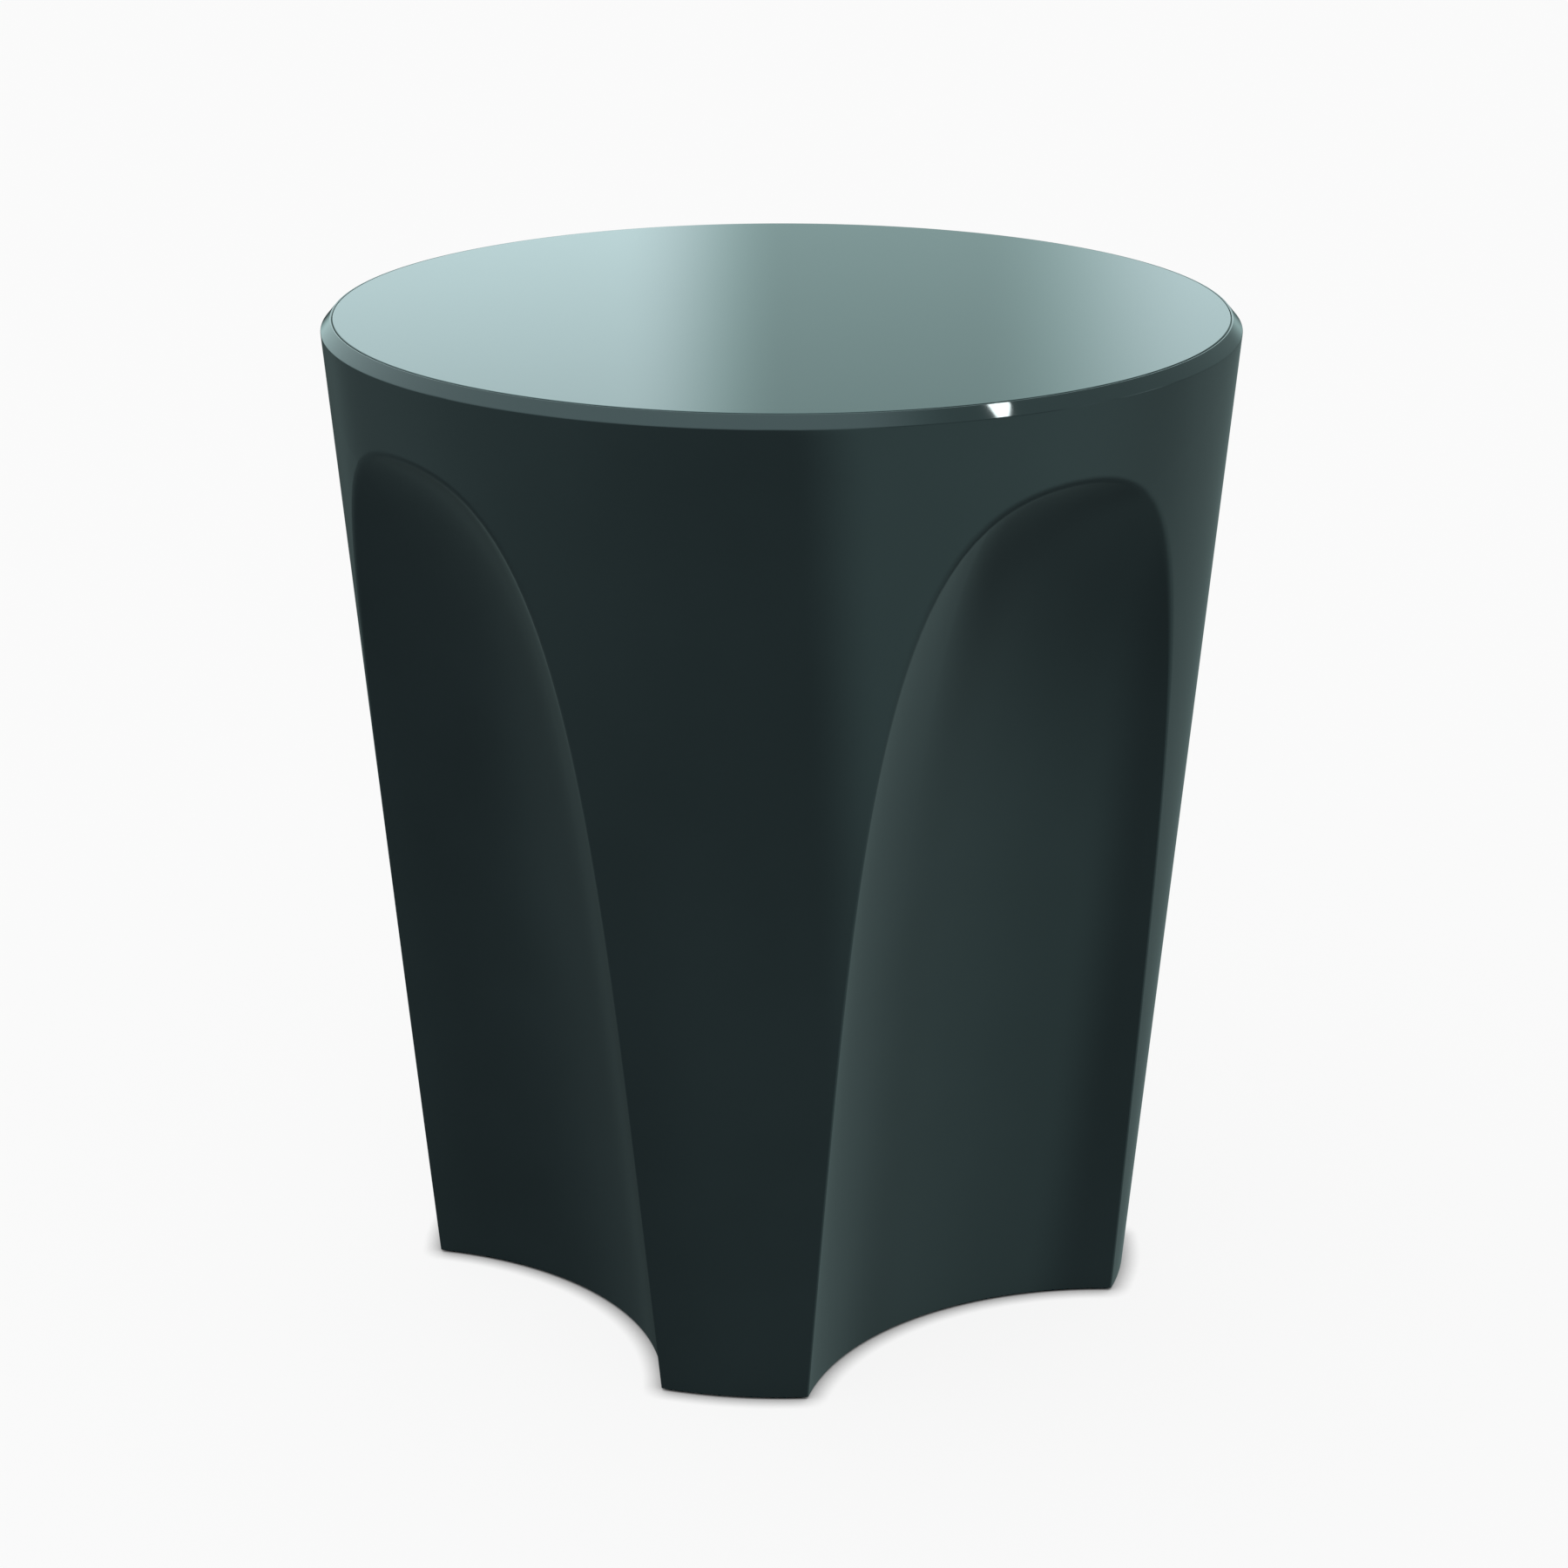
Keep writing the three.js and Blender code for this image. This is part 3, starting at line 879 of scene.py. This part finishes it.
def build_stem(hardware):
    """The levelling stem: foot, neck and ringed thread in one turning, with a hexagon collar."""
    low, high = STEM_LOW.z, STEM_HIGH.z
    ball, neck, crest = hardware.ball_radius, hardware.neck_radius, hardware.thread_radius
    ball_top = low + hardware.ball_height
    collar_top = INSERT_LOW.z - hardware.fit_gap
    collar_low = collar_top - hardware.collar_height
    pitch = hardware.thread_pitch
    root = crest - 0.6 * pitch
    points = [
        (0, low), (ball, low), (ball, ball_top), (neck, ball_top), (neck, collar_low),
        (root, collar_low + MM), (root, collar_top)]
    outline = rounded(points, [0.4 * MM, 0.4 * MM, 0.3 * MM, 0, 0])
    for turn in range(int((high - collar_top) / pitch) - 1):
        foot = collar_top + turn * pitch
        outline += [(crest, foot + 0.45 * pitch), (crest, foot + 0.6 * pitch), (root, foot + pitch)]
    outline += [(root, high), (0, high)]
    centre = middle_of(STEM_LOW, STEM_HIGH)
    stem = turned_piece(outline, centre, ROUND_SIDES)
    collar = upright_prism(centre, hardware.collar_radius, collar_low, collar_top, HEXAGON_SIDES)
    use_modifier(collar, "BEVEL", {"width": 0.45 * MM, "segments": 2, "limit_method": "ANGLE"})
    combine(stem, collar, "UNION")
    return stem


def build_base_screw(hardware):
    """A pan-head screw that points up, with a hexagon socket in its domed head."""
    centre = middle_of(SCREW_LOW, SCREW_HIGH)
    low, tip = SCREW_LOW.z, SCREW_HIGH.z
    head = (SCREW_HIGH.x - SCREW_LOW.x) / 2
    crown = head - 0.6 * MM
    seat = low + hardware.head_height
    shank = hardware.shank_radius
    points = [(0, low), (crown, low), (head, seat), (shank, seat), (shank, tip), (0, tip)]
    outline = rounded(points, [1.2 * MM, 0.25 * MM, 0.2 * MM, 0.8 * MM], 5)
    screw = turned_piece(outline, centre, ROUND_SIDES)
    socket_top = low + hardware.socket_depth
    socket = upright_prism(centre, hardware.socket_radius, low - MM, socket_top, HEXAGON_SIDES)
    combine(screw, socket, "DIFFERENCE")
    return screw


# Operators


class STOOL_OT_shell(bpy.types.Operator):
    """Lays the lacquered skin over the drum, with its scoops, rim and hollow inside"""

    bl_idname = "stool.shell"
    bl_label = "Body shell"

    def execute(self, context):
        scene = context.scene
        shell = build_shell(scene.stool_sizes, scene.stool_hardware)
        smooth(shell)
        colours = scene.stool_colours
        lacquer = gloss_lacquer(
            "gloss_lacquer", tuple(colours.lacquer), tuple(colours.lacquer_tint),
            roughness=0.05, waviness=0.0004 * MM)
        settle(shell, "lacquered_shell", "stool", lacquer, "lacquer", "body_shell")
        return {"FINISHED"}


class STOOL_OT_top(bpy.types.Operator):
    """Turns the polished top disc, eased at its edges"""

    bl_idname = "stool.top"
    bl_label = "Top disc"

    def execute(self, context):
        scene = context.scene
        radius = DISC_HIGH.x
        outline = rounded(
            [(0, DISC_LOW.z), (radius, DISC_LOW.z), (radius, DISC_HIGH.z), (0, DISC_HIGH.z)],
            [0.3 * MM, 0.35 * MM], 5)
        disc = turned_piece(outline, (0, 0), DISC_SIDES)
        smooth(disc)
        colours = scene.stool_colours
        gloss = gloss_lacquer(
            "gloss_top", tuple(colours.top), tuple(colours.top_tint), roughness=0.05, waviness=0.0003 * MM)
        settle(disc, "polished_top", "stool", gloss, "top_gloss", "top_disc")
        return {"FINISHED"}


class STOOL_OT_base(bpy.types.Operator):
    """Closes the underside with its panel and screws"""

    bl_idname = "stool.base"
    bl_label = "Base panel and screws"

    def execute(self, context):
        scene = context.scene
        panel = build_base_panel(scene.stool_sizes, scene.stool_hardware)
        smooth(panel)
        sheet = grained_plastic("base_sheet", (0.032, 0.033, 0.034), roughness=0.5, grain=0.03 * MM)
        settle(panel, "closing_panel", "stool", sheet, "base_board", "base_panel")
        zinc = zinc_plate("screw_zinc")
        for side, screw in zip(SIDES, quarter_turns(build_base_screw(scene.stool_hardware))):
            smooth(screw)
            settle(screw, f"pan_head_screw_{side}", "stool", zinc, "zinc_steel", f"base_screw_{side}")
        return {"FINISHED"}


class STOOL_OT_glides(bpy.types.Operator):
    """Makes the four levelling stems and their pads"""

    bl_idname = "stool.glides"
    bl_label = "Levelling glides"

    def execute(self, context):
        scene = context.scene
        nylon = grained_plastic("moulded_nylon", (0.02, 0.021, 0.022), roughness=0.45, grain=0.02 * MM)
        for side, pad in zip(SIDES, quarter_turns(build_pad(scene.stool_hardware))):
            smooth(pad)
            settle(pad, f"nylon_pad_{side}", f"pad_{side}", nylon, "nylon", f"glide_pad_{side}")
        zinc = zinc_plate("stem_zinc")
        for side, stem in zip(SIDES, quarter_turns(build_stem(scene.stool_hardware))):
            smooth(stem)
            settle(stem, f"levelling_stem_{side}", f"stem_{side}", zinc, "zinc_steel", f"glide_stem_{side}")
        return {"FINISHED"}


class STOOL_OT_hidden(bpy.types.Operator):
    """Gives the CAD pieces that stay their finishes"""

    bl_idname = "stool.hidden"
    bl_label = "Inner pieces"

    def execute(self, context):
        finishes = {
            "support_board": plywood(),
            "board_gasket": closed_cell_foam(),
        }
        beech = plain_wood("planed_beech", (0.50, 0.32, 0.17), (0.33, 0.19, 0.09), (8.0, 8.0, 1.0))
        zinc = zinc_plate("inner_zinc")
        brass = turned_brass()
        for side in SIDES:
            finishes[f"foot_block_{side}"] = beech
            finishes[f"board_screw_{side}"] = zinc
            finishes[f"glide_insert_{side}"] = brass
        for node, material in finishes.items():
            mesh = frame["nodes"][node].data
            mesh.materials.clear()
            mesh.materials.append(material)
        return {"FINISHED"}


def studio_world(settings):
    """Soft cards round the stool, seen in its mirror reflections. The camera sees an even page.

    Plain numbers are brightness. A step of up runs between two heights on a ball round the stool, and
    bearings count from the far side above and from the near side below, positive to the right.
    """
    world = bpy.data.worlds.new("studio")
    world.use_nodes = True
    bpy.context.scene.world = world
    recipe = Recipe(world.node_tree)
    way = recipe.node("ShaderNodeTexCoord").outputs["Generated"]
    turned = recipe.node(
        "ShaderNodeVectorRotate", {"rotation_type": "Z_AXIS"},
        {"Vector": way, "Angle": -settings.camera_turn}).outputs[0]
    parts = recipe.node("ShaderNodeSeparateXYZ", None, {"Vector": turned})
    across = Number(recipe, parts.outputs["X"])
    away = Number(recipe, parts.outputs["Y"])
    up = Number(recipe, parts.outputs["Z"])

    # Above: a bright ceiling that falls off to the right, and low cards with a gap facing each side
    bearing = across.sum("ARCTAN2", across, away)
    gap_bearing = recipe.number(
        "ShaderNodeMath", {"operation": "WRAP"}, {0: bearing, 1: math.pi / 4, 2: -math.pi / 4})
    card_left = 1 - gap_bearing.step(-2.4 * DEGREE, 0.1 * DEGREE)
    card_right = gap_bearing.step(2.8 * DEGREE, 6.4 * DEGREE)
    cards = (0.79 + card_left * 0.95 + card_right * 0.88) * (1.043 - (up - 0.19) * 2.2)
    outside = gap_bearing.sum("ABSOLUTE", gap_bearing, 0.0).step(12 * DEGREE, 22 * DEGREE)
    in_band = (1 - outside) * up.step(0.06, 0.13) * (1 - up.step(0.27, 0.36))
    bright = 1.15 + up * 0.85
    dim = 0.33 + up * 0.5
    ceiling = bright + (dim - bright) * across.step(0.2, 0.5)
    ceiling = ceiling + (cards - ceiling) * in_band

    # Below: dark in front, a card on the right and a fainter one on the left, all fading downwards, and
    # low light from behind on either side
    facing = across.sum("ARCTAN2", across, -away)
    front = 0.13 + 0.065 * up.step(-0.75, -0.5)
    right_edge = (facing + up * (75 * DEGREE)).step(-0.51, -0.125)
    right_mask = right_edge * (1 - facing.step(65 * DEGREE, 145 * DEGREE))
    right_card = 0.20 + 0.56 * up.step(-0.79, -0.38)
    left_mask = (-facing).step(15 * DEGREE, 60 * DEGREE)
    back_mask = (-facing).step(95 * DEGREE, 140 * DEGREE)
    left_front = 0.08 + 0.24 * up.step(-0.57, -0.35)
    left_back_fall = 1 - 0.45 * (-facing).step(148 * DEGREE, 168 * DEGREE)
    left_back = (0.085 + 0.07 * up.step(-0.42, -0.27)) * left_back_fall
    left_card = left_front + (left_back - left_front) * back_mask
    floor = front + (right_card - front) * right_mask + (left_card - front) * left_mask
    right_back_fall = 1 - 0.7 * facing.step(105 * DEGREE, 165 * DEGREE)
    right_back = 0.10 + 0.30 * up.step(-0.66, -0.5) * right_back_fall
    floor = floor + (right_back - floor) * facing.step(90 * DEGREE, 130 * DEGREE)
    level = floor + (ceiling - floor) * up.step(-0.14, 0.0)

    rays = recipe.node("ShaderNodeLightPath")
    tint = recipe.blend(level.step(0.7, 1.7), (0.70, 1.0, 0.985), (0.78, 1.0, 1.02))
    mirror = recipe.node(
        "ShaderNodeMix", {"data_type": "RGBA"},
        {"Factor": rays.outputs["Is Glossy Ray"], 6: (1, 1, 1, 1), 7: tint}).outputs[2]
    light = recipe.node("ShaderNodeBackground", None, {"Color": mirror, "Strength": level})
    page = recipe.node("ShaderNodeBackground", None, {"Color": (*[settings.page_white] * 3, 1)})
    mixed = recipe.node(
        "ShaderNodeMixShader", None,
        {0: rays.outputs["Is Camera Ray"], 1: light.outputs[0], 2: page.outputs[0]})
    recipe.node("ShaderNodeOutputWorld", None, {"Surface": mixed.outputs[0]})


def pale_floor(settings):
    """A plain pale sweep that gives off its own light, with a narrow painted shade where something stands
    close over it.
    """
    material, recipe = new_material("pale_floor", (0.9, 0.9, 0.9))
    # Painted shade: the floor's own glow is darkened where the ambient-occlusion node finds something close
    # over it
    cover = recipe.node(
        "ShaderNodeAmbientOcclusion", {"samples": 8}, {"Distance": settings.painted_shade_reach}).outputs["AO"]
    depth = 1.1
    shade = (1 - Number(recipe, cover)) * depth
    light = (1 - shade) * settings.page_white * settings.floor_glow
    grey = recipe.node("ShaderNodeCombineColor", None, {0: light, 1: light, 2: light}).outputs[0]
    surface = recipe.node("ShaderNodeBsdfPrincipled", None, {
        "Base Color": (*[settings.floor_colour] * 3, 1), "Roughness": 0.9, "Specular IOR Level": 0.0,
        "Emission Color": grey, "Emission Strength": 1.0})
    clear = recipe.node("ShaderNodeBsdfTransparent")
    behind = recipe.node("ShaderNodeNewGeometry").outputs["Backfacing"]
    mixed = recipe.node("ShaderNodeMixShader", None, {0: behind, 1: surface.outputs[0], 2: clear.outputs[0]})
    recipe.node("ShaderNodeOutputMaterial", None, {"Surface": mixed.outputs[0]})
    return material


class STOOL_OT_studio(bpy.types.Operator):
    """Sets a pale floor, soft studio light and the camera"""

    bl_idname = "stool.studio"
    bl_label = "Studio"

    def execute(self, context):
        scene = context.scene
        settings = scene.stool_studio
        scene.view_settings.view_transform = "Standard"
        studio_world(settings)

        start_fresh()
        bpy.ops.mesh.primitive_circle_add(vertices=96, radius=settings.floor_radius, fill_type="NGON")
        floor = bpy.context.object
        floor.name = "studio_floor"
        floor.data.materials.append(pale_floor(settings))
        # Mirror rays see only the cards, so that the gloss stays clean
        for piece in scene.objects:
            piece.visible_glossy = False

        # The softbox makes a small glint on the rim's chamfer
        turn = settings.camera_turn
        right = np.array([math.cos(turn), math.sin(turn), 0])
        away = np.array([-math.sin(turn), math.cos(turn), 0])
        upward = np.array([0, 0, 1])
        glint = np.array([0.08, -0.18, 0.447])
        toward = right * 0.584 - away * 0.109 + upward * 0.804
        start_fresh()
        bpy.ops.object.light_add(type="AREA", location=tuple(glint + toward * settings.softbox_distance))
        key = bpy.context.object
        key.name = "small_softbox"
        key.data.shape = "RECTANGLE"
        key.data.size = settings.softbox_width
        key.data.size_y = settings.softbox_height
        key.data.energy = settings.softbox_power
        key.rotation_mode = "QUATERNION"
        key.rotation_quaternion = Vector(toward).to_track_quat("Z", "Y")

        stand = -away * settings.camera_distance
        bpy.ops.object.camera_add(
            location=(stand[0], stand[1], settings.camera_height),
            rotation=(math.pi / 2 - settings.camera_pitch, 0, turn))
        camera = bpy.context.object
        camera.name = "studio_camera"
        camera.data.sensor_width = 36
        camera.data.lens = settings.camera_lens
        camera.data.shift_x = settings.camera_shift
        camera.data.clip_end = 100
        scene.camera = camera
        return {"FINISHED"}


class STOOL_PT_panel(bpy.types.Panel):
    """Lists the stool's sizes, colours and pieces"""

    bl_idname = "STOOL_PT_panel"
    bl_label = "Drum Stool"
    bl_space_type = "VIEW_3D"
    bl_region_type = "UI"
    bl_category = "Drum Stool"

    def draw(self, context):
        layout = self.layout
        scene = context.scene
        for group in SETTINGS:
            settings = getattr(scene, group)
            box = layout.box()
            for name in settings.bl_rna.properties.keys():
                if name not in ("rna_type", "name"):
                    box.prop(settings, name)
        for operator in BUILD_ORDER:
            layout.operator(operator.bl_idname)


BUILD_ORDER = (
    STOOL_OT_shell, STOOL_OT_top, STOOL_OT_base, STOOL_OT_glides, STOOL_OT_hidden, STOOL_OT_studio)
SETTINGS = {
    "stool_sizes": StoolSizes, "stool_hardware": HardwareSizes, "stool_colours": StoolColours,
    "stool_studio": StudioSettings}


def register():
    for kind in (*SETTINGS.values(), *BUILD_ORDER, STOOL_PT_panel):
        bpy.utils.register_class(kind)
    for name, kind in SETTINGS.items():
        setattr(bpy.types.Scene, name, bpy.props.PointerProperty(type=kind))


def unregister():
    for name in SETTINGS:
        delattr(bpy.types.Scene, name)
    for kind in reversed((*SETTINGS.values(), *BUILD_ORDER, STOOL_PT_panel)):
        bpy.utils.unregister_class(kind)


def main():
    register()
    bpy.ops.stool.shell()
    bpy.ops.stool.top()
    bpy.ops.stool.base()
    bpy.ops.stool.glides()
    bpy.ops.stool.hidden()
    bpy.ops.stool.studio()


if __name__ == "__main__":
    main()
